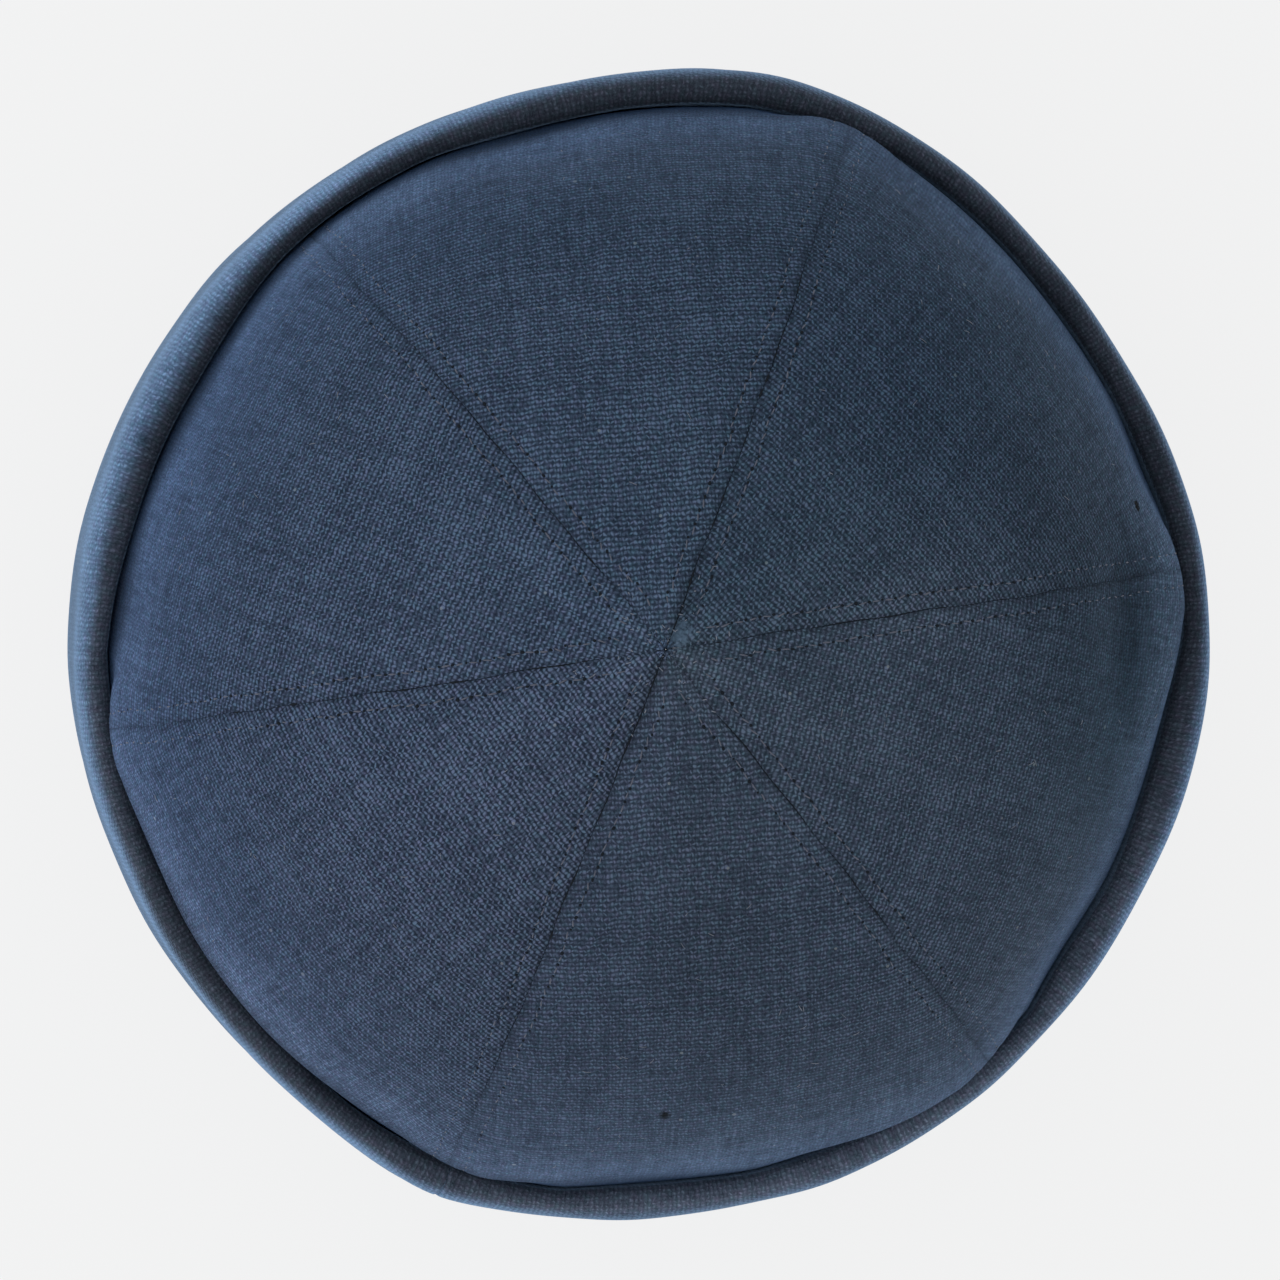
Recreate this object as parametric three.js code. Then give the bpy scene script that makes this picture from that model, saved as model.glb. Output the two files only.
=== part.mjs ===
// A docker cap in navy linen canvas, resting on its rim.
// Six gores are sewn together at the middle of the crown. A doubled cuff is sewn to their lower edge and
// turned up on the outside, so its folded top rings the crown.
// Millimetres, +Z up. The origin is on the floor, under the middle of the cap.
import * as THREE from 'three';

// Driving dimensions
const rimRadius = 98.7;
const capHeight = 114;
const cuffHeight = 48;
const cuffCloth = 1.3;
const foldWidth = 4.7;
const foldInnerTurn = 2.1;
const foldShoulder = 7;
const hemHeight = 12;
const crownCloth = 1.5;
const allowanceCloth = 0.9;
const allowanceWidth = 8;
const widestAllowance = 0.6;
const stepSlopeShare = 0.06;
const innerLayerClear = 3;
const lowerCorner = 1.8;
const seatGap = 0.4;
const seamGap = 0.3;
const apexOpening = 1.6;
const domeDepth = 74;

// The cuff leans over by this much from its lower edge to its fold
const leanReach = 3;
const leanFacing = 345;
const cuffBelly = 0.8;

// The rim isn't quite round, so its middle stands off the origin by this much to centre the cap's box
const middleX = -0.12;
const middleY = -0.2;

// The seams, by the way that each runs out from the middle of the crown, in degrees from +X
const seamFacings = [8.3, 69, 129.3, 188.7, 248.7, 309.2];

// Soft waves round the cap: how many go round, how far each stands out, and where a crest faces
const cuffWaves = [
  { count: 2, rise: 1.3, crest: 70 },
  { count: 4, rise: 1.0, crest: 79 },
  { count: 6, rise: 0.6, crest: 8 },
];
const crownWaves = [
  { count: 1, rise: 0.6, crest: 217 },
  { count: 2, rise: 1.9, crest: 67 },
  { count: 3, rise: 0.5, crest: 68 },
  { count: 6, rise: 1.0, crest: 8 },
];

// Swellings in the cuff's outer layer: where each faces, its push, and how far it spreads
const cuffSwells = [
  { facing: 10, push: 0.5, spreadAngle: 30 },
  { facing: 78, push: 0.6, spreadAngle: 10 },
  { facing: 152, push: 0.8, spreadAngle: 22 },
  { facing: 213, push: 0.75, spreadAngle: 12 },
  { facing: 249, push: 1.2, spreadAngle: 7 },
  { facing: 290, push: 1.2, spreadAngle: 9 },
  { facing: 308, push: 0.2, spreadAngle: 6 },
];

// Dents and swellings in the crown: where each faces, its height, its push, and how far it spreads
const crownDents = [
  { facing: 3, height: 76, push: -1.8, spreadAngle: 14, spreadHeight: 7 },
  { facing: 3, height: 60, push: 1.3, spreadAngle: 16, spreadHeight: 6 },
  { facing: 5, height: 54, push: 2.4, spreadAngle: 9, spreadHeight: 16 },
  { facing: 20, height: 54, push: -0.8, spreadAngle: 6, spreadHeight: 12 },
  { facing: 70, height: 54, push: 2.6, spreadAngle: 7, spreadHeight: 22 },
  { facing: 104, height: 54, push: -1, spreadAngle: 8, spreadHeight: 14 },
  { facing: 145, height: 54, push: -0.9, spreadAngle: 11, spreadHeight: 16 },
  { facing: 176, height: 54, push: -1, spreadAngle: 8, spreadHeight: 14 },
  { facing: 190, height: 54, push: 1.7, spreadAngle: 7, spreadHeight: 20 },
  { facing: 217, height: 54, push: 1.7, spreadAngle: 16, spreadHeight: 20 },
  { facing: 252, height: 54, push: 2.1, spreadAngle: 8, spreadHeight: 20 },
  { facing: 271, height: 54, push: -1, spreadAngle: 8, spreadHeight: 12 },
  { facing: 304, height: 54, push: 1.5, spreadAngle: 13, spreadHeight: 20 },
  { facing: 322, height: 54, push: -2.2, spreadAngle: 9, spreadHeight: 18 },
];

// The crown's own form starts over these stretches: outward only above the fold, and inward, away from the
// cuff, from above the hem
const outwardStart = cuffHeight;
const outwardEnd = cuffHeight + 7;
const inwardStart = hemHeight + 3;
const inwardEnd = hemHeight + 24;

// How finely the cloth is faceted. The rows down a gore crowd towards the rim.
const stepsAcrossGore = 12;
const allowanceColumns = 2;
const stepsDownGore = 16;
const domeShare = 0.75;
const rowCrowding = 1.35;
const stepsRoundCuff = 60;
const stepsPerArc = 3;
const bellyStops = [0.25, 0.5, 0.75];

const foldInside = rimRadius - foldWidth;
const crownRadius = foldInside - seatGap;
const hemOutside = crownRadius - crownCloth - allowanceCloth - seatGap;
const goreFoot = cuffCloth + seatGap;
const domeFoot = capHeight - domeDepth;

const canvas = new THREE.MeshStandardMaterial({ color: 0x35445a, roughness: 0.95, metalness: 0 });

function waves(table, angle) {
  return table.reduce((sum, wave) => {
    const turn = wave.count * (angle - THREE.MathUtils.degToRad(wave.crest));
    return sum + wave.rise * Math.cos(turn);
  }, 0);
}

// How much of a swelling or dent is left at an angle away from where it faces
function shareAcross(form, angle) {
  const turn = angle - THREE.MathUtils.degToRad(form.facing);
  const away = Math.atan2(Math.sin(turn), Math.cos(turn));
  const across = away / THREE.MathUtils.degToRad(form.spreadAngle);
  return Math.exp(-across * across);
}

function swells(angle) {
  return cuffSwells.reduce((sum, swell) => sum + swell.push * shareAcross(swell, angle), 0);
}

function dents(angle, height) {
  return crownDents.reduce((sum, dent) => {
    const up = (height - dent.height) / dent.spreadHeight;
    return sum + dent.push * shareAcross(dent, angle) * Math.exp(-up * up);
  }, 0);
}

// The middle of the cap at each height: the cuff leans, and the crown stands on it
function middleAt(height) {
  const lean = leanReach * (Math.min(height / cuffHeight, 1) - 0.5);
  const facing = THREE.MathUtils.degToRad(leanFacing);
  return new THREE.Vector2(middleX + lean * Math.cos(facing), middleY + lean * Math.sin(facing));
}

function placed(angle, radius, height) {
  const middle = middleAt(height);
  return new THREE.Vector3(
    middle.x + radius * Math.cos(angle), middle.y + radius * Math.sin(angle), height);
}

// The crown's radius and height, by angle and by how far down a gore: a dome to the widest ring, then a
// wall into the cuff. The wall follows the cuff's waves, and the dome above has its own form.
function crownRing(angle, down) {
  const startTilt = Math.asin(apexOpening / crownRadius);
  const domeDown = Math.min(down / domeShare, 1);
  const tilt = THREE.MathUtils.lerp(Math.PI / 2, startTilt, (1 - domeDown) ** rowCrowding);
  const wallDown = Math.max(down - domeShare, 0) / (1 - domeShare);
  const plainRadius = crownRadius * Math.sin(tilt);
  const height = domeFoot + domeDepth * Math.cos(tilt) - wallDown * (domeFoot - goreFoot);
  const seated = waves(cuffWaves, angle);
  const offSeat = waves(crownWaves, angle) + dents(angle, height) - seated;
  const free = offSeat > 0
    ? THREE.MathUtils.smoothstep(height, outwardStart, outwardEnd)
    : THREE.MathUtils.smoothstep(height, inwardStart, inwardEnd);
  const fade = Math.sin(tilt) ** 2;
  return { radius: plainRadius + fade * (seated + free * offSeat), height };
}

function goreFace(angle, down) {
  const { radius, height } = crownRing(angle, down);
  return placed(angle, radius, height);
}

function goreNormal(angle, down) {
  const small = 1e-3;
  const alongSeam = goreFace(angle, Math.min(down + small, 1)).sub(goreFace(angle, down - small));
  const alongRing = goreFace(angle + small, down).sub(goreFace(angle - small, down));
  return alongSeam.cross(alongRing).normalize();
}

// Columns across a gore: its edge, the two sides of the allowance's step, then even spacing to the middle
function columnPlace(column, halfWidth) {
  const fromEdge = Math.min(column, stepsAcrossGore - column);
  const allowance = Math.min(allowanceWidth, halfWidth * widestAllowance);
  const stepSlope = allowance * stepSlopeShare;
  const openColumns = stepsAcrossGore / 2 - allowanceColumns;
  const open = halfWidth - allowance - stepSlope;
  const doubled = fromEdge < allowanceColumns;
  const inset = doubled
    ? fromEdge * allowance
    : allowance + stepSlope + open * (fromEdge - allowanceColumns) / openColumns;
  const side = column < stepsAcrossGore / 2 ? -1 : 1;
  return { offset: side * (halfWidth - inset), doubled };
}

// A gore is a flat box with a grid on its two faces, bent over the crown between two seams
function gore(firstSeam, secondSeam) {
  const middle = THREE.MathUtils.degToRad((firstSeam + secondSeam) / 2);
  const halfAngle = THREE.MathUtils.degToRad((secondSeam - firstSeam) / 2);
  const geometry = new THREE.BoxGeometry(
    stepsAcrossGore, stepsDownGore, 1, stepsAcrossGore, stepsDownGore, 1);
  const position = geometry.attributes.position;
  for (let i = 0; i < position.count; i += 1) {
    const column = Math.round(position.getX(i) + stepsAcrossGore / 2);
    const down = 0.5 - position.getY(i) / stepsDownGore;
    const outside = position.getZ(i) > 0;
    const { radius } = crownRing(middle, down);
    const { offset, doubled } = columnPlace(column, radius * halfAngle - seamGap / 2);
    const angle = middle + offset / radius;
    const point = goreFace(angle, down);
    if (!outside) {
      const cloth = doubled ? crownCloth + allowanceCloth : crownCloth;
      point.addScaledVector(goreNormal(angle, down), -cloth);
    }
    position.setXYZ(i, point.x, point.y, point.z);
  }
  return geometry;
}

// The cuff's section: hem inside the crown, flat lower edge, outer layer, fold and inner layer. The fold has
// a long shoulder outside and a short turn inside. The inner layer stops short of the lower edge, where the
// gores' edges go in.
function cuffSection() {
  const crestRadius = foldInside + foldInnerTurn;
  const shoulderReach = foldWidth - foldInnerTurn;
  const shoulderFoot = cuffHeight - foldShoulder;
  const turnFoot = cuffHeight - foldInnerTurn;
  const quarter = Math.PI / 2;
  const hemInside = hemOutside - cuffCloth;
  const innerFoot = cuffCloth + innerLayerClear;
  const section = new THREE.Path();
  section.moveTo(hemInside, hemHeight);
  section.lineTo(hemInside, lowerCorner);
  section.absarc(hemInside + lowerCorner, lowerCorner, lowerCorner, 2 * quarter, 3 * quarter, false);
  section.absarc(rimRadius - lowerCorner, lowerCorner, lowerCorner, -quarter, 0, false);
  bellyStops.forEach((stop) => section.lineTo(rimRadius, stop * shoulderFoot));
  section.absellipse(crestRadius, shoulderFoot, shoulderReach, foldShoulder, 0, quarter, false, 0);
  section.absarc(crestRadius, turnFoot, foldInnerTurn, quarter, 2 * quarter, false);
  section.lineTo(foldInside, turnFoot / 2);
  section.lineTo(foldInside, innerFoot);
  section.lineTo(foldInside + cuffCloth, innerFoot);
  section.lineTo(foldInside + cuffCloth, turnFoot / 2);
  section.absarc(crestRadius, turnFoot, foldInnerTurn - cuffCloth, 2 * quarter, quarter, true);
  section.absellipse(
    crestRadius, shoulderFoot, shoulderReach - cuffCloth, foldShoulder - cuffCloth, quarter, 0, true, 0);
  [...bellyStops].reverse().forEach((stop) => {
    section.lineTo(rimRadius - cuffCloth, stop * shoulderFoot);
  });
  section.lineTo(rimRadius - cuffCloth, cuffCloth);
  section.lineTo(hemOutside, cuffCloth);
  section.lineTo(hemOutside, hemHeight);
  section.closePath();
  return section.getPoints(stepsPerArc);
}

// The cuff is its section turned round the cap, then pushed out by the waves, swellings, belly and lean
function cuff() {
  const geometry = new THREE.LatheGeometry(cuffSection(), stepsRoundCuff);
  geometry.rotateX(Math.PI / 2);
  const position = geometry.attributes.position;
  for (let i = 0; i < position.count; i += 1) {
    const angle = Math.atan2(position.getY(i), position.getX(i));
    const radius = Math.hypot(position.getX(i), position.getY(i));
    const height = position.getZ(i);
    const outer = THREE.MathUtils.smoothstep(radius, foldInside + cuffCloth, rimRadius - cuffCloth);
    const belly = cuffBelly * Math.sin(Math.PI * Math.min(height / cuffHeight, 1));
    const push = waves(cuffWaves, angle) + outer * (belly + swells(angle));
    const point = placed(angle, radius + push, height);
    position.setXYZ(i, point.x, point.y, point.z);
  }
  return geometry;
}

const cap = new THREE.Group();

seamFacings.forEach((facing, i) => {
  const lastSeam = i === seamFacings.length - 1;
  const nextFacing = lastSeam ? seamFacings[0] + 360 : seamFacings[i + 1];
  const panel = new THREE.Mesh(gore(facing, nextFacing), canvas);
  panel.name = `crown_panel_${i + 1}`;
  cap.add(panel);
});

const turnUp = new THREE.Mesh(cuff(), canvas);
turnUp.name = 'cuff';
cap.add(turnUp);

export default cap;
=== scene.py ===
import math

import bpy
import numpy as np
from mathutils import Matrix, Vector


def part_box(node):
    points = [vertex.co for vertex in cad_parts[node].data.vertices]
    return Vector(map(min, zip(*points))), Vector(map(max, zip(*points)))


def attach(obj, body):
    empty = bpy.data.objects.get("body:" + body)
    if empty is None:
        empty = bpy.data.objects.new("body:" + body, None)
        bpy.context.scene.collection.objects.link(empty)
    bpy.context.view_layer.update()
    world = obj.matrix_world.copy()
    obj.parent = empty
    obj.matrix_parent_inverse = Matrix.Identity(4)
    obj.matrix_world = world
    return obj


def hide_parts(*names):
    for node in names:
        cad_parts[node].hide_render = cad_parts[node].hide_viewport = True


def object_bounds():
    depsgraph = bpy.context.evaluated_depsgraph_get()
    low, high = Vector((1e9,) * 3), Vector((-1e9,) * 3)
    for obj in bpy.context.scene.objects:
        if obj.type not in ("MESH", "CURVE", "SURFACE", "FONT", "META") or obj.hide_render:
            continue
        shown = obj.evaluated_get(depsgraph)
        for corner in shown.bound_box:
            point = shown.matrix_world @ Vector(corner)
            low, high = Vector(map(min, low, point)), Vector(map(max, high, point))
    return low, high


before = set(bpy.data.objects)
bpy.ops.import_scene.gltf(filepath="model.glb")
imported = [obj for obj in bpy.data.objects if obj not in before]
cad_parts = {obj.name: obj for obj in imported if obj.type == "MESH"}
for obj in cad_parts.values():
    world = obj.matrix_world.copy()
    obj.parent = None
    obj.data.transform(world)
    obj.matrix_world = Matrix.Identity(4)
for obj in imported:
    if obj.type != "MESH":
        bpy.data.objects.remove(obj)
cad_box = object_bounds()
bpy.ops.object.select_all(action="DESELECT")

# The crown is six gores of navy linen canvas, each cut with the grain down its middle. Their side edges are
# sewn together face to face, and the allowances are pressed open inside, where the topstitching holds them.
# The gores' points meet at the middle of the top, and their lower edges go down inside the cuff.
mm = 0.001
cap_height = cad_box[1].z
cuff_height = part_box("cuff")[1].z
crown_radius = 93.6 * mm
dome_depth = 74 * mm
gore_foot = 2.2 * mm
hem_height = 12 * mm
crown_canvas = 0.8 * mm
apex_gap = 0.06 * mm
seam_gap = -0.06 * mm
turn_width = 0.22 * mm
turn_depth = 0.9 * mm
allowance_width = 8 * mm
seam_band = 9.5 * mm
welt_height = 0.3 * mm
row_step = 0.8 * mm
rows_per_stitch = 3
topstitch_inset = 2.8 * mm
topstitch_sink = 0.16 * mm
seam_wander = 0.3 * mm
middle_x = -0.12 * mm
middle_y = -0.2 * mm
lean_reach = 3 * mm
lean_facing = math.radians(345)
seam_facings = [8.3, 69, 129.3, 188.7, 248.7, 309.2]

# The gores were cut from different parts of the cloth: how each lies off the grain, in degrees, its dye,
# which also holds painted light and shade (paler on the gores to the left and lower left, darkest on the
# one to the upper right), and how far its weave stands out
gore_cuts = [
    {"twist": -4, "dye": (0.67, 0.76, 0.78), "relief": 0.9},
    {"twist": 5, "dye": (0.81, 0.89, 0.96), "relief": 0.88},
    {"twist": 2, "dye": (0.88, 0.94, 1.03), "relief": 0.96},
    {"twist": 2, "dye": (0.99, 0.97, 1.05), "relief": 1.05},
    {"twist": 5, "dye": (0.8, 0.8, 0.81), "relief": 0.72},
    {"twist": -4, "dye": (0.88, 0.88, 0.86), "relief": 0.78},
]

# Soft waves round the cap, in degrees and millimetres: how many, how far out, and where a crest faces
cuff_waves = [
    {"count": 2, "rise": 1.3, "crest": 70},
    {"count": 4, "rise": 1.0, "crest": 79},
    {"count": 6, "rise": 0.6, "crest": 8},
]
crown_waves = [
    {"count": 1, "rise": 0.6, "crest": 217},
    {"count": 2, "rise": 1.9, "crest": 67},
    {"count": 3, "rise": 0.5, "crest": 68},
    {"count": 6, "rise": 1.0, "crest": 8},
]

# Dents and swellings in the crown: where each faces, its height, its push, and how far it spreads
crown_dents = [
    {"facing": 3, "height": 76, "push": -1.8, "wide": 14, "high": 7},
    {"facing": 3, "height": 60, "push": 1.3, "wide": 16, "high": 6},
    {"facing": 5, "height": 54, "push": 2.4, "wide": 9, "high": 16},
    {"facing": 20, "height": 54, "push": -0.8, "wide": 6, "high": 12},
    {"facing": 70, "height": 54, "push": 2.6, "wide": 7, "high": 22},
    {"facing": 104, "height": 54, "push": -1.0, "wide": 8, "high": 14},
    {"facing": 145, "height": 54, "push": -0.9, "wide": 11, "high": 16},
    {"facing": 176, "height": 54, "push": -1.0, "wide": 8, "high": 14},
    {"facing": 190, "height": 54, "push": 1.7, "wide": 7, "high": 20},
    {"facing": 217, "height": 54, "push": 1.7, "wide": 16, "high": 20},
    {"facing": 252, "height": 54, "push": 2.1, "wide": 8, "high": 20},
    {"facing": 271, "height": 54, "push": -1.0, "wide": 8, "high": 12},
    {"facing": 304, "height": 54, "push": 1.5, "wide": 13, "high": 20},
    {"facing": 322, "height": 54, "push": -2.2, "wide": 9, "high": 18},
]


def waves(table, angle):
    return sum(w["rise"] * mm * np.cos(w["count"] * (angle - math.radians(w["crest"]))) for w in table)


# How much of a swelling or dent is left at an angle away from where it faces
def share_across(form, angle):
    turn = angle - math.radians(form["facing"])
    across = np.arctan2(np.sin(turn), np.cos(turn)) / math.radians(form["wide"])
    return np.exp(-across**2)


def dents(angle, height):
    total = 0
    for dent in crown_dents:
        up = (height - dent["height"] * mm) / (dent["high"] * mm)
        total = total + dent["push"] * mm * share_across(dent, angle) * np.exp(-up**2)
    return total


def ease(value, low, high):
    share = np.clip((value - low) / (high - low), 0, 1)
    return share * share * (3 - 2 * share)


# The cuff leans, and the crown stands on it
def placed(angle, radius, height):
    lean = lean_reach * (np.minimum(height / cuff_height, 1) - 0.5)
    x = middle_x + lean * math.cos(lean_facing) + radius * np.cos(angle)
    y = middle_y + lean * math.sin(lean_facing) + radius * np.sin(angle)
    return np.stack([x, y, np.broadcast_to(height, x.shape)], axis=-1)


# A quarter of an ellipse by its length, so that the weave keeps its size all the way down a gore
tilts = np.linspace(0, math.pi / 2, 2000)
dome_run = np.hypot(np.gradient(crown_radius * np.sin(tilts)), np.gradient(dome_depth * np.cos(tilts)))
dome_run = np.cumsum(dome_run) - dome_run[0]
dome_length = dome_run[-1]
dome_foot = cap_height - dome_depth
gore_length = dome_length + dome_foot - gore_foot


# The crown's radius and height. Its own form starts above the fold where it swells out, and above the hem
# where it falls in, away from the cuff.
def crown_ring(angle, down):
    tilt = np.interp(down, dome_run, tilts)
    height = dome_foot + dome_depth * np.cos(tilt) - np.maximum(down - dome_length, 0)
    seated = waves(cuff_waves, angle)
    off_seat = waves(crown_waves, angle) + dents(angle, height) - seated
    outward = ease(height, cuff_height, cuff_height + 7 * mm)
    inward = ease(height, hem_height + 3 * mm, hem_height + 24 * mm)
    free = np.where(off_seat > 0, outward, inward)
    return crown_radius * np.sin(tilt) + np.sin(tilt) ** 2 * (seated + free * off_seat), height


def crown_face(angle, down):
    radius, height = crown_ring(angle, down)
    return placed(angle, radius, height)


def crown_normal(angle, down):
    small = 1e-4
    along_seam = crown_face(angle, down + small) - crown_face(angle, np.maximum(down - small, 0))
    along_ring = crown_face(angle + small, down) - crown_face(angle - small, down)
    normal = np.cross(along_seam, along_ring)
    return normal / np.linalg.norm(normal, axis=-1, keepdims=True)


# Handled cloth is never quite even: a few shallow swells in fixed directions
def unevenness(points, depth):
    swells = np.random.default_rng(7)
    total = 0
    for wavelength in (46, 37, 29, 23, 18, 14):
        direction = swells.normal(size=3)
        direction = direction / np.linalg.norm(direction)
        phase = swells.uniform(0, 2 * math.pi)
        total = total + wavelength * np.sin(points @ direction * 2 * math.pi / (wavelength * mm) + phase)
    return depth * total / 60


# How far the cloth stands out near a seam: the allowance lifts it, and the topstitching pulls it in
def seam_lift(inset, down):
    lift = welt_height * (1 - ease(inset, 6.5 * mm, 9.5 * mm))
    pull = np.cos(2 * math.pi * down / (row_step * rows_per_stitch))
    groove = topstitch_sink * (1 + 0.5 * pull) * np.exp(-(((inset - topstitch_inset) / (0.6 * mm)) ** 2))
    return lift - groove


# Where the points meet, the cloth is drawn in, and beside that it puckers up
def apex_lift(points):
    out = points - placed(np.array(0.0), 0, cap_height)
    reach = np.hypot(out[..., 0], out[..., 1])
    pucker = np.hypot(out[..., 0] - 3.3 * mm, (out[..., 1] - 0.3 * mm) * 1.4)
    drawn_in = 0.4 * mm * np.exp(-((reach / (2.2 * mm)) ** 2))
    return 0.5 * mm * np.exp(-((pucker / (1.8 * mm)) ** 2)) - drawn_in


def sewn_face(angle, down, inset):
    face = crown_face(angle, down)
    normal = crown_normal(angle, down)
    free = ease(face[..., 2], cuff_height, cuff_height + 12 * mm)
    lift = free * (seam_lift(inset, down) + unevenness(face, 0.22 * mm)) + apex_lift(face)
    return face + normal * lift[..., None], normal


# No seam is quite straight
def wander(seam, down):
    phases = np.random.default_rng(40 + seam % len(seam_facings)).uniform(0, 2 * math.pi, 3)
    return sum(np.sin(2 * math.pi * down / (w * mm) + p) for w, p in zip((61, 31, 14), phases)) / 3


def seam_stray(seam, down):
    return seam_wander * wander(seam, down) * ease(down, 0.5 * mm, 7 * mm)


# The two seams in one line were sewn last and lie open at the middle of the top. The others are closed
# there, and all close towards the rim.
long_seams = (1, 4)


def openness(seam, down):
    at_top = 1.3 if seam % len(seam_facings) in long_seams else 0.5
    at_rim = 1 - 0.75 * ease(down, 50 * mm, 100 * mm)
    past_top = at_top + (1 - at_top) * ease(down, 4 * mm, 16 * mm)
    return (0.7 + 0.5 * wander(seam + 3, down)) * past_top * at_rim


# The places across a gore, from the raw edge of the allowance over the turned edge to the middle
allowance_steps = 4
turn_steps = 6
band_steps = 18
open_steps = 18
side_steps = allowance_steps + turn_steps + band_steps + open_steps


def places_across(half, tightness):
    width = np.minimum(turn_width * tightness, 0.3 * half)
    depth = np.minimum(turn_depth, 0.4 * half)
    allowance = np.minimum(allowance_width, 0.55 * half)
    band = np.minimum(seam_band, 0.5 * half)
    flat_edge = half - width
    round_turn = math.pi * (width + depth) / 2
    under = np.linspace(1, 0, allowance_steps, endpoint=False)
    turn = np.linspace(math.pi, 0, turn_steps, endpoint=False)
    near = np.linspace(0, 1, band_steps, endpoint=False)
    far = np.linspace(1, 0, open_steps + 1)
    offset = np.hstack([
        flat_edge - allowance * under,
        flat_edge + width * np.sin(turn),
        flat_edge - (band - width) * near,
        (half - band) * far,
    ])
    below = np.hstack([
        2 * depth + 0 * under,
        depth * (1 - np.cos(turn)),
        0 * depth + 0 * near,
        0 * depth + 0 * far,
    ])
    cloth = np.hstack([
        flat_edge + round_turn + allowance * under,
        flat_edge + round_turn * turn / math.pi,
        flat_edge - (band - width) * near,
        (half - band) * far,
    ])
    return offset, below, cloth


# A flat grid of canvas, added as a primitive. Its rows run along +Y and its columns along +X.
def canvas_grid(name, columns, rows):
    bpy.ops.mesh.primitive_grid_add(x_subdivisions=columns, y_subdivisions=rows, size=2)
    sheet = bpy.context.object
    sheet.name = name
    sheet.data.name = name
    flat = np.zeros(len(sheet.data.vertices) * 3)
    sheet.data.vertices.foreach_get("co", flat)
    flat = flat.reshape(-1, 3)
    column = np.rint((flat[:, 0] + 1) / 2 * columns).astype(int)
    row = np.rint((flat[:, 1] + 1) / 2 * rows).astype(int)
    return sheet, column, row


# Moves the grid's points to their places, and writes the grain in millimetres to the UV map. The colour
# attribute says how much paler or darker each point's red, green and blue are, from the dye and from
# painted light and shade, on the right side of the cloth and then on its wrong side, whose points come
# after the others once the wall has its thickness.
def shape_canvas(sheet, points, grain, right_side, wrong_side, thickness):
    mesh = sheet.data
    mesh.vertices.foreach_set("co", np.ascontiguousarray(points, dtype=np.float32).ravel())
    corner = np.zeros(len(mesh.loops), dtype=int)
    mesh.loops.foreach_get("vertex_index", corner)
    mesh.uv_layers[0].name = "grain"
    mesh.uv_layers[0].data.foreach_set("uv", np.ascontiguousarray(grain[corner], dtype=np.float32).ravel())
    mesh.update()
    wall = sheet.modifiers.new("cloth", "SOLIDIFY")
    wall.thickness = thickness
    wall.offset = -1
    wall.use_quality_normals = True
    bpy.ops.object.modifier_apply(modifier=wall.name)
    dye_light_shade = mesh.attributes.new("dye_light_shade", "FLOAT_VECTOR", "POINT")
    dye_light_shade.data.foreach_set("vector", np.vstack([right_side, wrong_side]).astype(np.float32).ravel())
    bpy.ops.object.shade_smooth()
    sheet.select_set(False)


gore_rows = int(round((gore_length - apex_gap) / row_step))
gore_downs = apex_gap + (gore_length - apex_gap) * np.arange(gore_rows + 1) / gore_rows


# Painted light and shade in the crown's colour, in paler and darker patches and bands, among them a lighter
# band round the rim: where on the crown, how far down, how far it spreads, and by how much
crown_light_patches = [
    {"facing": 165, "down": 106, "wide": 75, "long": 24, "red": -0.08, "green": 0.03, "blue": 0.16},
    {"facing": 282, "down": 110, "wide": 36, "long": 20, "red": 0.26, "green": 0.32, "blue": 0.34},
    {"facing": 350, "down": 100, "wide": 20, "long": 26, "red": -0.28, "green": -0.16, "blue": -0.14},
    {"facing": 8, "down": 45, "wide": 12, "long": 18, "red": 0.3, "green": 0.22, "blue": 0.18},
    {"facing": 270, "down": 52, "wide": 28, "long": 22, "red": -0.14, "green": -0.13, "blue": -0.14},
    {"facing": 45, "down": 68, "wide": 26, "long": 22, "red": -0.18, "green": -0.14, "blue": -0.1},
    {"facing": 0, "down": 114, "wide": 720, "long": 10, "red": 0.18, "green": 0.23, "blue": 0.3},
    {"facing": 225, "down": 113, "wide": 36, "long": 8, "red": 0.3, "green": 0.3, "blue": 0.26},
    {"facing": 122, "down": 113, "wide": 14, "long": 8, "red": 0.3, "green": 0.3, "blue": 0.26},
    {"facing": 4, "down": 109, "wide": 12, "long": 5, "red": 0.42, "green": 0.42, "blue": 0.4},
    {"facing": 4, "down": 97, "wide": 13, "long": 6, "red": -0.36, "green": -0.34, "blue": -0.32},
    {"facing": 0, "down": 88, "wide": 720, "long": 20, "red": -0.13, "green": -0.12, "blue": -0.12},
    {"facing": 10, "down": 77, "wide": 16, "long": 12, "red": -0.16, "green": -0.16, "blue": -0.16},
    {"facing": 208, "down": 95, "wide": 16, "long": 12, "red": -0.1, "green": -0.08, "blue": -0.08},
    {"facing": 105, "down": 84, "wide": 20, "long": 12, "red": -0.08, "green": -0.06, "blue": -0.06},
    {"facing": 0, "down": 24, "wide": 720, "long": 22, "red": 0.13, "green": 0.12, "blue": 0.09},
    {"facing": 0, "down": 0, "wide": 720, "long": 9, "red": 0.32, "green": 0.28, "blue": 0.2},
]
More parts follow.
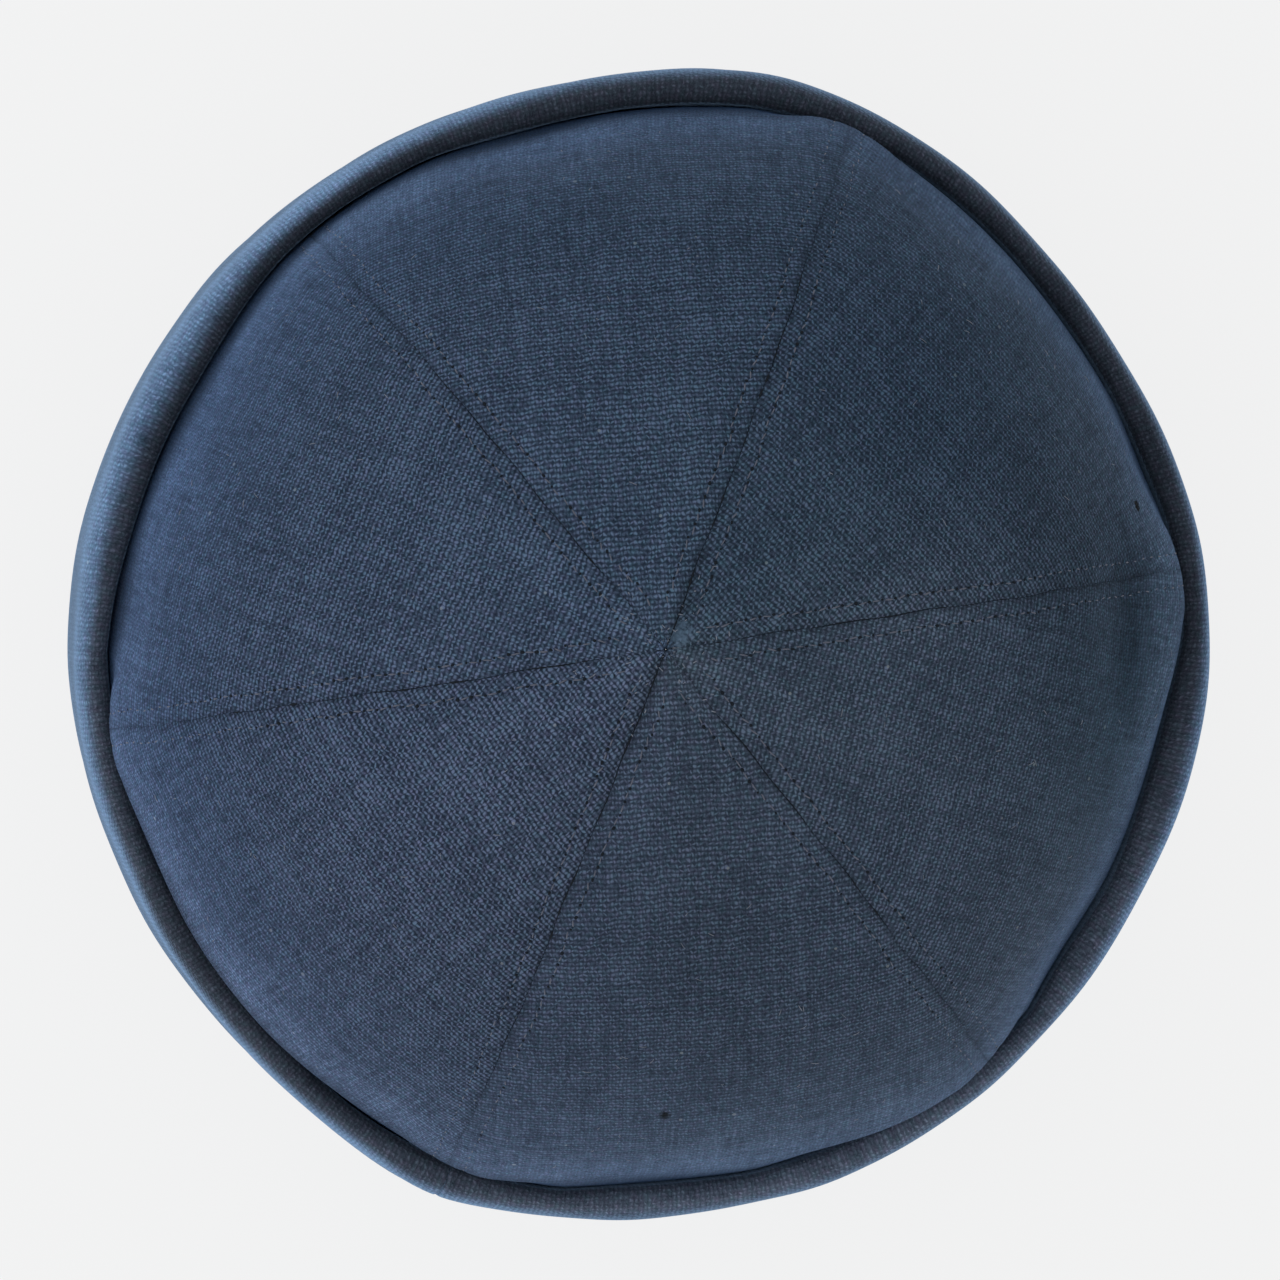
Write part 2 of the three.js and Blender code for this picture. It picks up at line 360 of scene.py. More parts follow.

# How dark the painted shade on the crown gets where it goes into the cuff, and how many millimetres higher
# that starts. Then come the stretches down a gore over which that painted shade darkens, and over which
# painted light below it, which lifts the deepest part of the groove, begins and ends.
foot_shades = [
    {"facing": 0, "dark": 0.8, "up": 4},
    {"facing": 12, "dark": 0.8, "up": 2},
    {"facing": 30, "dark": 0.8, "up": 0},
    {"facing": 72, "dark": 0.7, "up": 2},
    {"facing": 95, "dark": 0.8, "up": 0},
    {"facing": 120, "dark": 0.8, "up": 1},
    {"facing": 180, "dark": 0.6, "up": 0},
    {"facing": 217, "dark": 0.8, "up": 4},
    {"facing": 250, "dark": 0.65, "up": 4},
    {"facing": 272, "dark": 0.4, "up": 0},
    {"facing": 304, "dark": 0.3, "up": 0},
    {"facing": 330, "dark": 0.6, "up": 0},
]
foot_darkens = (113.5 * mm, 123.5 * mm)
groove_light_begins = (125 * mm, 130 * mm)
groove_light_ends = (134 * mm, 142 * mm)
foot_groove_light = (1.8, 1.3, 0.9)

# Painted shade along the seams, most of all along the long one near the middle of the top: how dark and how
# wide, and what is added there
groove_shade_dark = 0.24
groove_shade_wide = 0.9 * mm
top_groove_shade_dark = 0.22
top_groove_shade_wide = 0.5 * mm
top_groove_shade_ends = (8 * mm, 28 * mm)


def seam_groove_shade(seam, down, inset):
    top = np.isin(seam % len(seam_facings), long_seams) * (1 - ease(down, *top_groove_shade_ends))
    wide = groove_shade_wide + top_groove_shade_wide * top
    return (groove_shade_dark + top_groove_shade_dark * top) * np.exp(-((inset / wide) ** 2))


# A table's column, followed round the cap
def round_cap(table, column, angle):
    facings = [entry["facing"] for entry in table]
    return np.interp(np.degrees(angle), facings, [entry[column] for entry in table], period=360)


# The dye, with the painted light and shade it holds, runs smoothly from the middle of one gore to the next
def gore_dye_and_light(angle):
    middles = [(a + b) / 2 for a, b in zip(seam_facings, seam_facings[1:] + [seam_facings[0] + 360])]
    dyes = zip(*(cut["dye"] for cut in gore_cuts))
    return np.stack([np.interp(np.degrees(angle), middles, tones, period=360) for tones in dyes], axis=-1)


# The crown's colour: its dye, painted light and shade in patches, painted shade along the seams and at the
# foot where the crown goes into the cuff, and painted light deeper in the groove
def crown_tone_with_shade(angle, down, seam_shading):
    dye_light_shade = np.ones((len(angle), 3))
    for patch in crown_light_patches:
        near = (down - patch["down"] * mm) / (patch["long"] * mm)
        share = share_across(patch, angle) * np.exp(-near**2)
        dye_light_shade += share[:, None] * np.array([patch["red"], patch["green"], patch["blue"]])
    foot = down + round_cap(foot_shades, "up", angle) * mm
    shade = ease(foot, *foot_darkens)
    lit_share = (1 - seam_shading) * (1 - round_cap(foot_shades, "dark", angle) * shade)
    groove_lit = ease(down, *groove_light_begins) * (1 - ease(down, *groove_light_ends))
    return gore_dye_and_light(angle) * dye_light_shade * lit_share[:, None] + groove_lit[:, None] * np.array(foot_groove_light)


# A gore between two seams. The threads are straight in the flat cut, so on the dome they cross its rings.
def sew_gore(number, first_seam, second_seam):
    middle = math.radians((first_seam + second_seam) / 2)
    half_angle = math.radians((second_seam - first_seam) / 2)
    sheet, column, row = canvas_grid(f"gore_{number + 1}", 2 * side_steps, gore_rows)
    down = gore_downs[::-1]
    ring, _ = crown_ring(middle, down)
    full_half = ring * half_angle
    side = np.where(column <= side_steps, -1, 1)
    place = np.minimum(column, 2 * side_steps - column)
    half = (full_half - seam_gap / 2)[:, None]
    first = places_across(half, openness(number, down)[:, None])
    second = places_across(half, openness(number + 1, down)[:, None])
    offset, below, cloth = (np.where(side < 0, f[row, place], s[row, place]) for f, s in zip(first, second))
    share = offset / full_half[row]
    stray = np.where(side < 0, seam_stray(number, down)[row], seam_stray(number + 1, down)[row]) * share**2
    angle = middle + side * half_angle * share + stray / ring[row]
    inset = full_half[row] * (1 - share)
    points, normal = sewn_face(angle, down[row], inset)
    points = points - normal * below[:, None]

    tilt = np.interp(down, dome_run, tilts)
    outward = crown_radius * np.cos(tilt)
    widening = outward / np.hypot(outward, dome_depth * np.sin(tilt))
    turn = side * cloth / ring[row]
    across = ring[row] * turn * np.sinc(turn * widening[row] / math.pi)
    along = down[row] - ring[row] * widening[row] * (1 - np.cos(turn))
    twist = math.radians(gore_cuts[number]["twist"])
    grain = np.stack([
        across * math.cos(twist) + along * math.sin(twist),
        along * math.cos(twist) - across * math.sin(twist),
    ], axis=-1) / mm
    plain = gore_dye_and_light(angle)
    dye_light_shade = crown_tone_with_shade(angle, down[row], seam_groove_shade(number + (side > 0), down[row], inset))
    turned_in = ease(below, turn_depth, 2 * turn_depth)[:, None]
    shape_canvas(sheet, points, grain, dye_light_shade + turned_in * (plain - dye_light_shade), plain, crown_canvas)
    flat_area = float(np.sum(2 * (full_half + allowance_width)) * row_step)
    return sheet, flat_area


# Node helpers for the cloth: a math step, a mix of two colours, a chance for each cell, and a soft drift
def put(tree, socket, value):
    if isinstance(value, bpy.types.NodeSocket):
        tree.links.new(value, socket)
    else:
        socket.default_value = value


def calc(tree, operation, *values):
    node = tree.nodes.new("ShaderNodeMath")
    node.operation = operation
    for socket, value in zip(node.inputs, values):
        put(tree, socket, value)
    return node.outputs[0]


def tint(tree, mode, share, first, second):
    node = tree.nodes.new("ShaderNodeMix")
    node.data_type = "RGBA"
    node.blend_type = mode
    for socket, value in zip((node.inputs[0], node.inputs[6], node.inputs[7]), (share, first, second)):
        put(tree, socket, value)
    return node.outputs[2]


def pair(tree, first, second):
    node = tree.nodes.new("ShaderNodeCombineXYZ")
    put(tree, node.inputs[0], first)
    put(tree, node.inputs[1], second)
    return node.outputs[0]


def chance(tree, first, second):
    node = tree.nodes.new("ShaderNodeTexWhiteNoise")
    node.noise_dimensions = "2D"
    put(tree, node.inputs["Vector"], pair(tree, first, second))
    return node.outputs["Value"]


def drift(tree, vector, scale, detail):
    node = tree.nodes.new("ShaderNodeTexNoise")
    node.noise_dimensions = "2D"
    node.inputs["Scale"].default_value = scale
    node.inputs["Detail"].default_value = detail
    put(tree, node.inputs["Vector"], vector)
    return calc(tree, "SUBTRACT", node.outputs["Fac"], 0.5)


def ramp(tree, value, reach, ends):
    node = tree.nodes.new("ShaderNodeMapRange")
    node.interpolation_type = "SMOOTHSTEP"
    put(tree, node.inputs["Value"], value)
    node.inputs["From Min"].default_value, node.inputs["From Max"].default_value = reach
    node.inputs["To Min"].default_value, node.inputs["To Max"].default_value = ends
    return node.outputs[0]


# Plain-weave linen, from the grain UV map in millimetres. Each thread passes over one thread and under the
# next. Its colour holds painted light: a painted highlight on the top of each float, brighter on the
# lengthwise threads, and painted shade in the gaps between threads and on the crosswise floats, which lie
# lower.
length_thread = 0.64
cross_thread = 0.85
float_long = 1.2
float_wide = 0.72
yarn_slant = math.radians(27)
deep_dye = (0.0095, 0.0165, 0.031, 1)
pale_dye = (0.15, 0.207, 0.305, 1)


def linen(name, relief, nap, worn, marks=()):
    material = bpy.data.materials.new(name)
    material.use_nodes = True
    tree = material.node_tree
    cloth = tree.nodes["Principled BSDF"]
    grain = tree.nodes.new("ShaderNodeUVMap")
    grain.uv_map = "grain"
    parts = tree.nodes.new("ShaderNodeSeparateXYZ")
    put(tree, parts.inputs[0], grain.outputs[0])
    stray = drift(tree, grain.outputs[0], 0.35, 3)
    other_stray = drift(tree, pair(tree, parts.outputs[1], parts.outputs[0]), 0.31, 3)
    jerk = drift(tree, grain.outputs[0], 1.3, 1)
    wavy = calc(tree, "MULTIPLY_ADD", stray, 0.9, parts.outputs[0])
    across = calc(tree, "DIVIDE", calc(tree, "MULTIPLY_ADD", jerk, 0.4, wavy), length_thread)
    along = calc(tree, "DIVIDE", calc(tree, "ADD", other_stray, parts.outputs[1]), cross_thread)
    thread = calc(tree, "FLOOR", across)
    pick = calc(tree, "FLOOR", along)
    off_thread = calc(tree, "SUBTRACT", calc(tree, "SUBTRACT", across, thread), 0.5)
    off_pick = calc(tree, "SUBTRACT", calc(tree, "SUBTRACT", along, pick), 0.5)
    crosswise = calc(tree, "FLOORED_MODULO", calc(tree, "ADD", thread, pick), 2.0)

    float_off = calc(tree, "MULTIPLY", off_pick, cross_thread)
    float_side = calc(tree, "MULTIPLY", off_thread, length_thread)
    slant_in, slant_over = math.sin(yarn_slant), math.cos(yarn_slant)
    leaning = calc(tree, "MULTIPLY", float_side, slant_in)
    leaning = calc(tree, "MULTIPLY_ADD", float_off, slant_over, leaning)
    beside = calc(tree, "MULTIPLY", float_off, -slant_in)
    beside = calc(tree, "MULTIPLY_ADD", float_side, slant_over, beside)
    swap = calc(tree, "MULTIPLY", crosswise, calc(tree, "SUBTRACT", beside, leaning))
    lengthways = calc(tree, "DIVIDE", calc(tree, "ADD", leaning, swap), float_long / 2)
    yarn = chance(tree, thread, 3.5)
    other_yarn = chance(tree, pick, 7.5)
    yarn = calc(tree, "MULTIPLY_ADD", crosswise, calc(tree, "SUBTRACT", other_yarn, yarn), yarn)
    thick = calc(tree, "MULTIPLY_ADD", yarn, 0.5 * float_wide / 2, 0.78 * float_wide / 2)
    sideways = calc(tree, "DIVIDE", calc(tree, "SUBTRACT", beside, swap), thick)
    outside = calc(tree, "MULTIPLY_ADD", lengthways, lengthways, calc(tree, "MULTIPLY", sideways, sideways))
    float_top = calc(tree, "MAXIMUM", calc(tree, "SUBTRACT", 1.0, outside), 0.0)

    dot = chance(tree, thread, pick)
    low = calc(tree, "MULTIPLY_ADD", crosswise, -0.3, 1.0)
    smooth = ramp(tree, parts.outputs[1], worn, (0, 1))
    height = calc(tree, "MULTIPLY", float_top, low)
    body = calc(tree, "MINIMUM", calc(tree, "MULTIPLY", float_top, 1.5), 1.0)
    gleam = calc(tree, "MULTIPLY", calc(tree, "POWER", float_top, 5.0), low)
    gleam = calc(tree, "MULTIPLY", calc(tree, "MULTIPLY_ADD", dot, 1.6, 0.2), gleam)
    knotty = calc(tree, "MULTIPLY_ADD", body, 0.24, gleam)
    stands = calc(tree, "MULTIPLY_ADD", smooth, -0.5 * relief, relief)
    shade = calc(tree, "MULTIPLY_ADD", calc(tree, "SUBTRACT", knotty, 0.33), stands, 0.42)
    slub = drift(tree, pair(tree, calc(tree, "MULTIPLY", thread, 17.3), along), 0.1, 1)
    pick_slub = drift(tree, pair(tree, across, calc(tree, "MULTIPLY", pick, 19.1)), 0.1, 1)
    cloudy = drift(tree, grain.outputs[0], 0.06, 3)
    fibres = drift(tree, grain.outputs[0], 4.5, 2)
    streaks = calc(tree, "ADD", slub, pick_slub)
    vary = calc(tree, "MULTIPLY_ADD", streaks, calc(tree, "MULTIPLY_ADD", smooth, 0.3, 0.6), 1.0)
    vary = calc(tree, "MULTIPLY_ADD", cloudy, 0.5, calc(tree, "MULTIPLY_ADD", fibres, 1.4, vary))
    vary = calc(tree, "MULTIPLY_ADD", drift(tree, grain.outputs[0], 1.15, 2), 0.8, vary)
    shade = calc(tree, "MULTIPLY", shade, vary)
    colour = tint(tree, "MIX", shade, deep_dye, pale_dye)
    hue = calc(tree, "ADD", calc(tree, "MULTIPLY", drift(tree, grain.outputs[0], 0.8, 2), 1.6), 0.5)
    cast = tint(tree, "MIX", hue, (0.86, 1.04, 0.98, 1), (1.16, 0.96, 1.04, 1))
    colour = tint(tree, "MULTIPLY", 1.0, colour, cast)

    neps = tree.nodes.new("ShaderNodeTexVoronoi")
    neps.voronoi_dimensions = "2D"
    neps.inputs["Scale"].default_value = 0.11
    put(tree, neps.inputs["Vector"], grain.outputs[0])
    rare = tree.nodes.new("ShaderNodeSeparateColor")
    put(tree, rare.inputs[0], neps.outputs["Color"])
    size = calc(tree, "MULTIPLY_ADD", calc(tree, "SUBTRACT", rare.outputs[0], 0.7), 0.1, 0.008)
    nep = calc(tree, "MULTIPLY", calc(tree, "LESS_THAN", neps.outputs["Distance"], size), 0.6)
    colour = tint(tree, "MIX", nep, colour, (0.3, 0.33, 0.36, 1))

    where = tree.nodes.new("ShaderNodeTexCoord")
    for mark in marks:
        shifted = tree.nodes.new("ShaderNodeMapping")
        shifted.vector_type = "TEXTURE"
        place = crown_face(math.radians(mark["facing"]), mark["down"] * mm)
        shifted.inputs["Location"].default_value = place
        shifted.inputs["Rotation"].default_value = (0, 0, math.radians(mark["lie"]))
        shifted.inputs["Scale"].default_value = [s * mm for s in mark["size"]]
        put(tree, shifted.inputs["Vector"], where.outputs["Object"])
        length = tree.nodes.new("ShaderNodeVectorMath")
        length.operation = "LENGTH"
        put(tree, length.inputs[0], shifted.outputs[0])
        torn = drift(tree, grain.outputs[0], 1.3, 3)
        ragged = calc(tree, "MULTIPLY_ADD", torn, mark["ragged"], length.outputs["Value"])
        edge = ramp(tree, ragged, (1 - mark["soft"], 1), (mark["share"], 0))
        colour = tint(tree, "MIX", edge, colour, (*mark["dye"], 1))

    dye_light_shade = tree.nodes.new("ShaderNodeAttribute")
    dye_light_shade.attribute_name = "dye_light_shade"
    put(tree, cloth.inputs["Base Color"], tint(tree, "MULTIPLY", 1.0, colour, dye_light_shade.outputs["Vector"]))
    bump = tree.nodes.new("ShaderNodeBump")
    bump.inputs["Strength"].default_value = 0.6
    bump.inputs["Distance"].default_value = 0.16 * mm
    put(tree, bump.inputs["Height"], height)
    put(tree, cloth.inputs["Normal"], bump.outputs[0])
    cloth.inputs["Roughness"].default_value = 0.92
    cloth.inputs["Specular IOR Level"].default_value = 0.15
    cloth.inputs["Sheen Weight"].default_value = nap["weight"]
    cloth.inputs["Sheen Roughness"].default_value = nap["roughness"]
    cloth.inputs["Sheen Tint"].default_value = nap["tint"]
    return material


# The topstitching: a row of short thread stitches beside each seam, through the cloth and its allowance,
# with a needle hole between each two, made as a small black piece of painted shade. Towards the rim both
# sink into the worn cloth.
stitch_long = 1.6 * mm
stitch_wide = 0.24 * mm
stitch_arch = 0.1 * mm
stitch_sink = 0.14 * mm
loose_wide = 0.16 * mm
pit_long = 0.85 * mm
pit_wide = 0.54 * mm
pit_sink = 0.02 * mm
rim_pit_sink = 0.2 * mm
uneven_pit = 0.08 * mm
valley_shadow_wide = 0.36 * mm
stitch_start = 7 * mm
stitch_end = dome_length - 5 * mm
thread_ends = [
    {"facing": 38, "down": 2.3, "lie": 6, "long": 2.4},
    {"facing": 350, "down": 1.6, "lie": 24, "long": 1.4},
    {"facing": 64, "down": 3.4, "lie": -35, "long": 1.2},
    {"facing": 155, "down": 3, "lie": -45, "long": 2.2},
    {"facing": 175, "down": 4.6, "lie": -40, "long": 2},
    {"facing": 200, "down": 6.5, "lie": 18, "long": 2.8},
    {"facing": 318, "down": 4, "lie": -55, "long": 2.4},
    {"facing": 335, "down": 5.2, "lie": 30, "long": 1.8},
    {"facing": 15, "down": 5, "lie": 9, "long": 3},
]
seam_ends = 24
lint_count = 320


# One stitch is a thin bent roll whose ends go down into the cloth. All of a gore's stitches make one mesh.
def lay_stitches(name, middles, leads, normals, lengths, widths):
    runs = np.linspace(-1, 1, 7)
    turns = np.linspace(0, 2 * math.pi, 6, endpoint=False)
    thick = np.sqrt(1 - 0.9 * runs**2)
    arch = stitch_arch * (1 - 2.4 * runs**2)
    aside = np.cross(normals, leads)
    lead_part = leads[:, None, None, :] * (lengths[:, None] / 2 * runs)[:, :, None, None]
    round_part = widths[:, None, None] / 2 * thick[None, :, None]
    side_part = aside[:, None, None, :] * (round_part * np.cos(turns))[..., None]
    rise_part = normals[:, None, None, :] * (round_part * np.sin(turns) + arch[None, :, None])[..., None]
    points = (middles[:, None, None, :] + lead_part + side_part + rise_part).reshape(-1, 3)
    ring, spoke = np.meshgrid(np.arange(len(runs) - 1), np.arange(len(turns)), indexing="ij")
    after = (spoke + 1) % len(turns)
    one = np.stack([
        ring * len(turns) + spoke,
        ring * len(turns) + after,
        (ring + 1) * len(turns) + after,
        (ring + 1) * len(turns) + spoke,
    ], axis=-1).reshape(-1, 4)
    start = np.arange(len(middles)) * len(runs) * len(turns)
    faces = (one[None] + start[:, None, None]).reshape(-1, 4)
    mesh = bpy.data.meshes.new(name)
    mesh.from_pydata(points, [], faces)
    mesh.shade_smooth()
    rows = bpy.data.objects.new(name, mesh)
    bpy.context.collection.objects.link(rows)
    return rows


def topstitch(number, first_seam, second_seam):
    uneven = np.random.default_rng(300 + number)
    pitch = row_step * rows_per_stitch
    down = np.arange(math.ceil(stitch_start / pitch), stitch_end / pitch) * pitch + pitch / 2
    middles, leads, normals, lengths, widths = [], [], [], [], []
    pit_places, pit_leads, pit_normals, pit_lengths, pit_widths = [], [], [], [], []
    for seam, facing, side in ((number, first_seam, 1), (number + 1, second_seam, -1)):
        inset = topstitch_inset + uneven.normal(0, 0.1 * mm, len(down))
        ring, _ = crown_ring(math.radians(facing), down)
        angle = math.radians(facing) + (side * inset + seam_stray(seam, down)) / ring
        slant = uneven.normal(0, 0.09 * mm, len(down)) / ring
        middle, normal = sewn_face(angle, down, inset)
        middle = middle - normal * (stitch_sink * ease(down, 35 * mm, 85 * mm))[:, None]
        before, _ = sewn_face(angle - slant, down - 0.5 * mm, inset)
        after, _ = sewn_face(angle + slant, down + 0.5 * mm, inset)
        lead = (after - before) / np.linalg.norm(after - before, axis=1)[:, None]
        longs = stitch_long * uneven.uniform(0.82, 1.08, len(down))
        wides = stitch_wide * uneven.uniform(0.8, 1.15, len(down))
        inside = middle - normal * 2 * turn_depth
        middles += [middle, inside]
        normals += [normal, -normal]
        leads += [lead, lead]
        lengths += [longs, longs]
        widths += [wides, wides]
        hole, hole_normal = sewn_face(angle, down + pitch / 2, inset)
        sink = pit_sink + rim_pit_sink * ease(down, 60 * mm, 105 * mm)
        sink = sink + np.abs(uneven.normal(0, uneven_pit, len(down)))
        pit_places.append(hole - hole_normal * sink[:, None])
        pit_normals.append(hole_normal)
        pit_leads.append(lead)
        pit_lengths.append(pit_long * uneven.uniform(0.6, 1.3, len(down)))
        pit_widths.append(pit_wide * uneven.uniform(0.7, 1.2, len(down)))

    # Painted shade deep in the seam's valley: a line of black pieces, sunk deeper where the seam is closed
    seam_down = np.arange(1.5 * mm, stitch_end, 1.5 * mm)
    ring, _ = crown_ring(math.radians(first_seam), seam_down)
    angle = math.radians(first_seam) + seam_stray(number, seam_down) / ring
    middle, normal = sewn_face(angle, seam_down, 0)
    lead = np.gradient(middle, axis=0)
    lead = lead / np.linalg.norm(lead, axis=1)[:, None]
    closed = ease(seam_down, 60 * mm, 100 * mm)
    if number not in long_seams:
        closed = closed + 1 - ease(seam_down, 2 * mm, 9 * mm)
    deep = valley_shadow_wide * (0.95 + 0.3 * uneven.normal(0, 1, len(seam_down)) + 0.9 * closed)
    pit_places.append(middle - normal * deep[:, None])
    pit_normals.append(normal)
    pit_leads.append(lead)
    pit_lengths.append(np.full(len(seam_down), 2.2 * mm))
    pit_widths.append(valley_shadow_wide * uneven.uniform(0.8, 1.2, len(seam_down)))

    stitching = lay_stitches(
        f"topstitching_{number + 1}", np.vstack(middles), np.vstack(leads), np.vstack(normals),
        np.hstack(lengths), np.hstack(widths))
    pits = lay_stitches(
        f"seam_shadow_{number + 1}", np.vstack(pit_places), np.vstack(pit_leads), np.vstack(pit_normals),
        np.hstack(pit_lengths), np.hstack(pit_widths))
    return stitching, pits


# Short ends of thread left standing where the seams cross: some long ones, and many along each seam
def loose_ends():
    rough = np.random.default_rng(900)
    facing = [math.radians(end["facing"]) for end in thread_ends]
    down = [end["down"] * mm for end in thread_ends]
    lie = [math.radians(end["lie"]) for end in thread_ends]
    length = [end["long"] * mm for end in thread_ends]
    for seam in seam_facings:
        reach = (1.2 + 15 * rough.uniform(0, 1, seam_ends) ** 1.6) * mm
        facing += list(math.radians(seam) + rough.uniform(-3, 3, seam_ends) * mm / (reach + mm))
        down += list(reach)
        lie += list(math.radians(seam) + rough.normal(0, 0.9, seam_ends))
        length += list(rough.uniform(0.6, 1.8, seam_ends) * mm)
    middle, normal = sewn_face(np.array(facing), np.array(down), np.full(len(facing), topstitch_inset))
    lead = np.stack([np.cos(lie), np.sin(lie), np.zeros(len(lie))], axis=1)
    width = loose_wide * rough.uniform(0.6, 1.1, len(lie))
    return lay_stitches("loose_ends", middle, lead, normal, np.array(length), width)


# Lint: fine pale fibres lying on the crown
def lint():
    rough = np.random.default_rng(901)
    facing = rough.uniform(0, 2 * math.pi, lint_count)
    down = np.sqrt(rough.uniform(0.01, 1, lint_count)) * 112 * mm
    middle, normal = sewn_face(facing, down, np.full(lint_count, seam_band))
    aside = crown_face(facing + 0.001, down) - crown_face(facing - 0.001, down)
    aside = aside / np.linalg.norm(aside, axis=1)[:, None]
    turn = rough.uniform(0, math.pi, lint_count)[:, None]
    lead = aside * np.cos(turn) + np.cross(normal, aside) * np.sin(turn)
    length = rough.uniform(0.5, 2.2, lint_count) * mm
    width = rough.uniform(0.05, 0.12, lint_count) * mm
    return lay_stitches("lint", middle, lead, normal, length, width)


sewing_thread = bpy.data.materials.new("sewing_thread")
sewing_thread.use_nodes = True
twist = sewing_thread.node_tree.nodes["Principled BSDF"]
twist.inputs["Base Color"].default_value = (0.13, 0.138, 0.185, 1)
twist.inputs["Roughness"].default_value = 0.75
twist.inputs["Sheen Weight"].default_value = 0.2

# A near-black material for the painted shade in the needle holes and seam valleys
painted_shadow = bpy.data.materials.new("painted_shadow")
painted_shadow.use_nodes = True
shadow = painted_shadow.node_tree.nodes["Principled BSDF"]
shadow.inputs["Base Color"].default_value = (0.016, 0.02, 0.027, 1)
shadow.inputs["Roughness"].default_value = 0.9
shadow.inputs["Specular IOR Level"].default_value = 0.1

pale_thread = bpy.data.materials.new("pale_thread")
pale_thread.use_nodes = True
bleached = pale_thread.node_tree.nodes["Principled BSDF"]
bleached.inputs["Base Color"].default_value = (0.27, 0.285, 0.34, 1)
bleached.inputs["Roughness"].default_value = 0.85

# A soft dark stain low on the fifth gore, a small dark snag low on the first, and a rubbed spot at the top
black = (0.006, 0.007, 0.009)
rubbed = (0.14, 0.2, 0.3)
marks = [
    {"facing": 271.1, "down": 89.9, "size": (1.5, 1.2, 2), "lie": -35,
     "soft": 0.75, "share": 0.95, "ragged": 0.9, "dye": black},
    {"facing": 16.3, "down": 105.6, "size": (0.5, 1.2, 2), "lie": 18,
     "soft": 0.3, "share": 1, "ragged": 0.9, "dye": black},
    {"facing": 45, "down": 3.4, "size": (2.4, 3, 3), "lie": -20,
     "soft": 0.75, "share": 0.75, "ragged": 2.2, "dye": rubbed},
]

# The crown's nap, and the stretch along the grain over which its weave is worn smooth, in millimetres
crown_nap = {"weight": 0.3, "roughness": 0.18, "tint": (0.2, 0.45, 1, 1)}
crown_worn = (60, 108)

for number, first_seam in enumerate(seam_facings):
    second_seam = (seam_facings + [seam_facings[0] + 360])[number + 1]
    gore, flat_area = sew_gore(number, first_seam, second_seam)
    relief = gore_cuts[number]["relief"]
    gore.data.materials.append(linen(f"gore_linen_{number + 1}", relief, crown_nap, crown_worn, marks))
    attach(gore, "root")
    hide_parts(f"crown_panel_{number + 1}")
    stitching, pits = topstitch(number, first_seam, second_seam)
    stitching.data.materials.append(sewing_thread)
    pits.data.materials.append(painted_shadow)
    threads = [stitching, pits]
    if number == 0:
        for fluff in (loose_ends(), lint()):
            fluff.data.materials.append(pale_thread)
            threads.append(fluff)
    for thread in threads:
        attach(thread, "root")

# The cuff is one strip of the same canvas, sewn to the gores' lower edge and turned up outside, doubled, so
# that its soft fold rings the crown. Its short ends are joined where the long seam of the crown comes down.
# The fold's inner layer lies against the crown wherever the crown leaves it room (hug).
rim_radius = 98.7 * mm
fold_width = 4.7 * mm
fold_inner_turn = 2.1 * mm
fold_shoulder = 7 * mm
hem_inside = 89.5 * mm
lower_corner = 1.8 * mm
cuff_belly = 0.8 * mm
cuff_canvas = 1.0 * mm
inner_foot = 4.3 * mm
hug = 0.9
join_facing = math.radians(249.3)
join_depth = 0.35 * mm
join_steps = 8
columns_round = 360

# Swellings in the cuff's outer layer, in degrees and millimetres
cuff_swells = [
    {"facing": 10, "push": 0.5, "wide": 30},
    {"facing": 78, "push": 0.6, "wide": 10},
    {"facing": 152, "push": 0.8, "wide": 22},
    {"facing": 213, "push": 0.75, "wide": 12},
    {"facing": 249, "push": 1.2, "wide": 7},
    {"facing": 290, "push": 1.2, "wide": 9},
    {"facing": 308, "push": 0.2, "wide": 6},
]

# The dye of the cuff's wall, and the painted light and shade on the cuff: painted light on the wall's upper
# edge, painted light and shade on the fold, and painted light on the layer inside, against the crown's,
# that lifts the groove. The table says how much of the last three there is round the cap, and how many rows
# past the shoulder the fold's painted shade starts. The pair after it is where the painted light on the
# wall's edge starts.
plain_wall = (1.1, 1.12, 1.15)
edge_painted_light = (1.0, 1.17, 1.28)
fold_light_and_shade = (0.88, 0.78, 0.72)
groove_painted_light = (1.1, 0.95, 0.85)
cuff_painted_light = [
    {"facing": 0, "edge": 1.7, "fold": 0.8, "inside": 1.6, "start": 2},
    {"facing": 26, "edge": 1.3, "fold": 0.68, "inside": 1.3, "start": -1},
    {"facing": 60, "edge": 1.0, "fold": 0.75, "inside": 1.3, "start": -2},
    {"facing": 92, "edge": 1.3, "fold": 0.75, "inside": 3.5, "start": -1},
    {"facing": 120, "edge": 2.3, "fold": 0.72, "inside": 3.5, "start": 2},
    {"facing": 150, "edge": 2.0, "fold": 0.75, "inside": 3.5, "start": 6},
    {"facing": 180, "edge": 1.8, "fold": 1.3, "inside": 3.5, "start": 2},
    {"facing": 213, "edge": 2.1, "fold": 0.65, "inside": 3.5, "start": -6},
    {"facing": 240, "edge": 2.2, "fold": 0.95, "inside": 3.5, "start": -1},
    {"facing": 268, "edge": 1.1, "fold": 1.6, "inside": 3.5, "start": 0},
    {"facing": 302, "edge": 1.1, "fold": 1.7, "inside": 3.5, "start": 0},
    {"facing": 330, "edge": 2.2, "fold": 1.5, "inside": 3, "start": 1},
]
edge_light_heights = (30 * mm, 40 * mm)


def arc(middle_radius, middle_height, reach, rise, first, last):
    turn = np.radians(np.linspace(first, last, 60))
    return [middle_radius + reach * np.cos(turn), middle_height + rise * np.sin(turn)]


